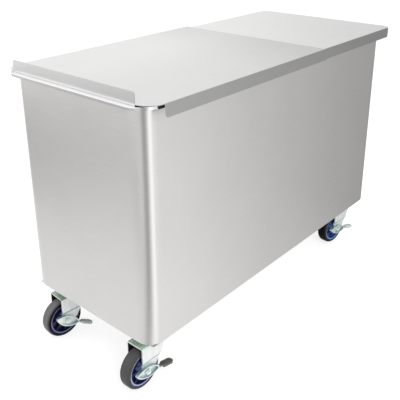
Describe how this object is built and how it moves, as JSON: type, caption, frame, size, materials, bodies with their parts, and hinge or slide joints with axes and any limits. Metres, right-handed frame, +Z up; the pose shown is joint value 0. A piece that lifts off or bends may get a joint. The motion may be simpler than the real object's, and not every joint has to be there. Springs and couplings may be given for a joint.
{
  "type": "flour bin",
  "caption": "Wheeled stainless steel ingredient bin with a deep rounded tub, a sliding lid with an upturned handle edge, a separate rear lid and braked swivel casters",
  "frame": {"origin": "on the floor, under the middle of the whole bin's bounding box", "axes": "+X along the tub's length to the rear lid, the sliding lid's handle at -X; +Y across the tub; +Z up"},
  "size_m": [1.0264, 0.4668, 0.7212],
  "materials": {
    "stainless": "satin brushed stainless sheet",
    "glide_plastic": "smooth black extruded plastic",
    "zinc": "bright zinc plated pressed steel",
    "hub_plastic": "moulded grey-blue plastic",
    "tyre_rubber": "dark grey smooth rubber",
    "pedal_plastic": "dark grey ribbed plastic",
    "bearing_steel": "ground steel ring"
  },
  "bodies": {
    "tub": {"tub_shell": "stainless", "tub_floor": "stainless", "mount_channel_front": "stainless", "mount_channel_rear": "stainless", "weld_nuts": "zinc", "caster_bolts": "zinc", "glide_strip_near": "glide_plastic", "glide_strip_far": "glide_plastic", "kingpins": "zinc", "swivel_races": "zinc", "lower_races": "zinc", "caster_plate_front_near": "zinc", "caster_plate_front_far": "zinc", "caster_plate_rear_near": "zinc", "caster_plate_rear_far": "zinc"},
    "sliding_lid": {"sliding_lid": "stainless"},
    "rear_lid": {"rear_lid": "stainless"},
    "swivel_front_near": {"fork_front_near": "zinc", "axle_bolt_front_near": "zinc", "axle_nut_front_near": "zinc", "axle_sleeve_front_near": "zinc"},
    "wheel_front_near": {"wheel_hub_front_near": "hub_plastic", "wheel_bearings_front_near": "bearing_steel", "tyre_front_near": "tyre_rubber"},
    "brake_front_near": {"brake_lever_front_near": "zinc", "brake_pedal_front_near": "pedal_plastic"},
    "swivel_front_far": {"fork_front_far": "zinc", "axle_bolt_front_far": "zinc", "axle_nut_front_far": "zinc", "axle_sleeve_front_far": "zinc"},
    "wheel_front_far": {"wheel_hub_front_far": "hub_plastic", "wheel_bearings_front_far": "bearing_steel", "tyre_front_far": "tyre_rubber"},
    "brake_front_far": {"brake_lever_front_far": "zinc", "brake_pedal_front_far": "pedal_plastic"},
    "swivel_rear_near": {"fork_rear_near": "zinc", "axle_bolt_rear_near": "zinc", "axle_nut_rear_near": "zinc", "axle_sleeve_rear_near": "zinc"},
    "wheel_rear_near": {"wheel_hub_rear_near": "hub_plastic", "wheel_bearings_rear_near": "bearing_steel", "tyre_rear_near": "tyre_rubber"},
    "brake_rear_near": {"brake_lever_rear_near": "zinc", "brake_pedal_rear_near": "pedal_plastic"},
    "swivel_rear_far": {"fork_rear_far": "zinc", "axle_bolt_rear_far": "zinc", "axle_nut_rear_far": "zinc", "axle_sleeve_rear_far": "zinc"},
    "wheel_rear_far": {"wheel_hub_rear_far": "hub_plastic", "wheel_bearings_rear_far": "bearing_steel", "tyre_rear_far": "tyre_rubber"},
    "brake_rear_far": {"brake_lever_rear_far": "zinc", "brake_pedal_rear_far": "pedal_plastic"}
  },
  "joints": [
    {"name": "lid_slide", "type": "slide", "parent": "tub", "child": "sliding_lid", "axis": [1, 0, 0], "range_m": [0, 0.375]},
    {"name": "rear_lid_pull", "type": "slide", "parent": "tub", "child": "rear_lid", "axis": [1, 0, 0], "range_m": [0, 0.4]},
    {"name": "swivel_turn_front_near", "type": "hinge", "parent": "tub", "child": "swivel_front_near", "pos_m": [-0.4271, -0.1413, 0.114], "axis": [0, 0, 1], "continuous": true},
    {"name": "wheel_roll_front_near", "type": "hinge", "parent": "swivel_front_near", "child": "wheel_front_near", "pos_m": [-0.4621, -0.14161, 0.0508], "axis": [-0.0087, 1, 0], "continuous": true},
    {"name": "brake_press_front_near", "type": "hinge", "parent": "swivel_front_near", "child": "brake_front_near", "pos_m": [-0.4621, -0.14161, 0.0508], "axis": [-0.0087, 1, 0], "range_deg": [0, 18]},
    {"name": "swivel_turn_front_far", "type": "hinge", "parent": "tub", "child": "swivel_front_far", "pos_m": [-0.4271, 0.1413, 0.114], "axis": [0, 0, 1], "continuous": true},
    {"name": "wheel_roll_front_far", "type": "hinge", "parent": "swivel_front_far", "child": "wheel_front_far", "pos_m": [-0.462, 0.14386, 0.0508], "axis": [0.0732, 0.9973, 0], "continuous": true},
    {"name": "brake_press_front_far", "type": "hinge", "parent": "swivel_front_far", "child": "brake_front_far", "pos_m": [-0.462, 0.14386, 0.0508], "axis": [0.0732, 0.9973, 0], "range_deg": [-18, 0]},
    {"name": "swivel_turn_rear_near", "type": "hinge", "parent": "tub", "child": "swivel_rear_near", "pos_m": [0.4375, -0.1413, 0.114], "axis": [0, 0, 1], "continuous": true},
    {"name": "wheel_roll_rear_near", "type": "hinge", "parent": "swivel_rear_near", "child": "wheel_rear_near", "pos_m": [0.40264, -0.13825, 0.0508], "axis": [0.0872, 0.9962, 0], "continuous": true},
    {"name": "brake_press_rear_near", "type": "hinge", "parent": "swivel_rear_near", "child": "brake_rear_near", "pos_m": [0.40264, -0.13825, 0.0508], "axis": [0.0872, 0.9962, 0], "range_deg": [0, 18]},
    {"name": "swivel_turn_rear_far", "type": "hinge", "parent": "tub", "child": "swivel_rear_far", "pos_m": [0.4375, 0.1413, 0.114], "axis": [0, 0, 1], "continuous": true},
    {"name": "wheel_roll_rear_far", "type": "hinge", "parent": "swivel_rear_far", "child": "wheel_rear_far", "pos_m": [0.40255, 0.13947, 0.0508], "axis": [-0.0523, 0.9986, 0], "continuous": true},
    {"name": "brake_press_rear_far", "type": "hinge", "parent": "swivel_rear_far", "child": "brake_rear_far", "pos_m": [0.40255, 0.13947, 0.0508], "axis": [-0.0523, 0.9986, 0], "range_deg": [0, 18]}
  ]
}
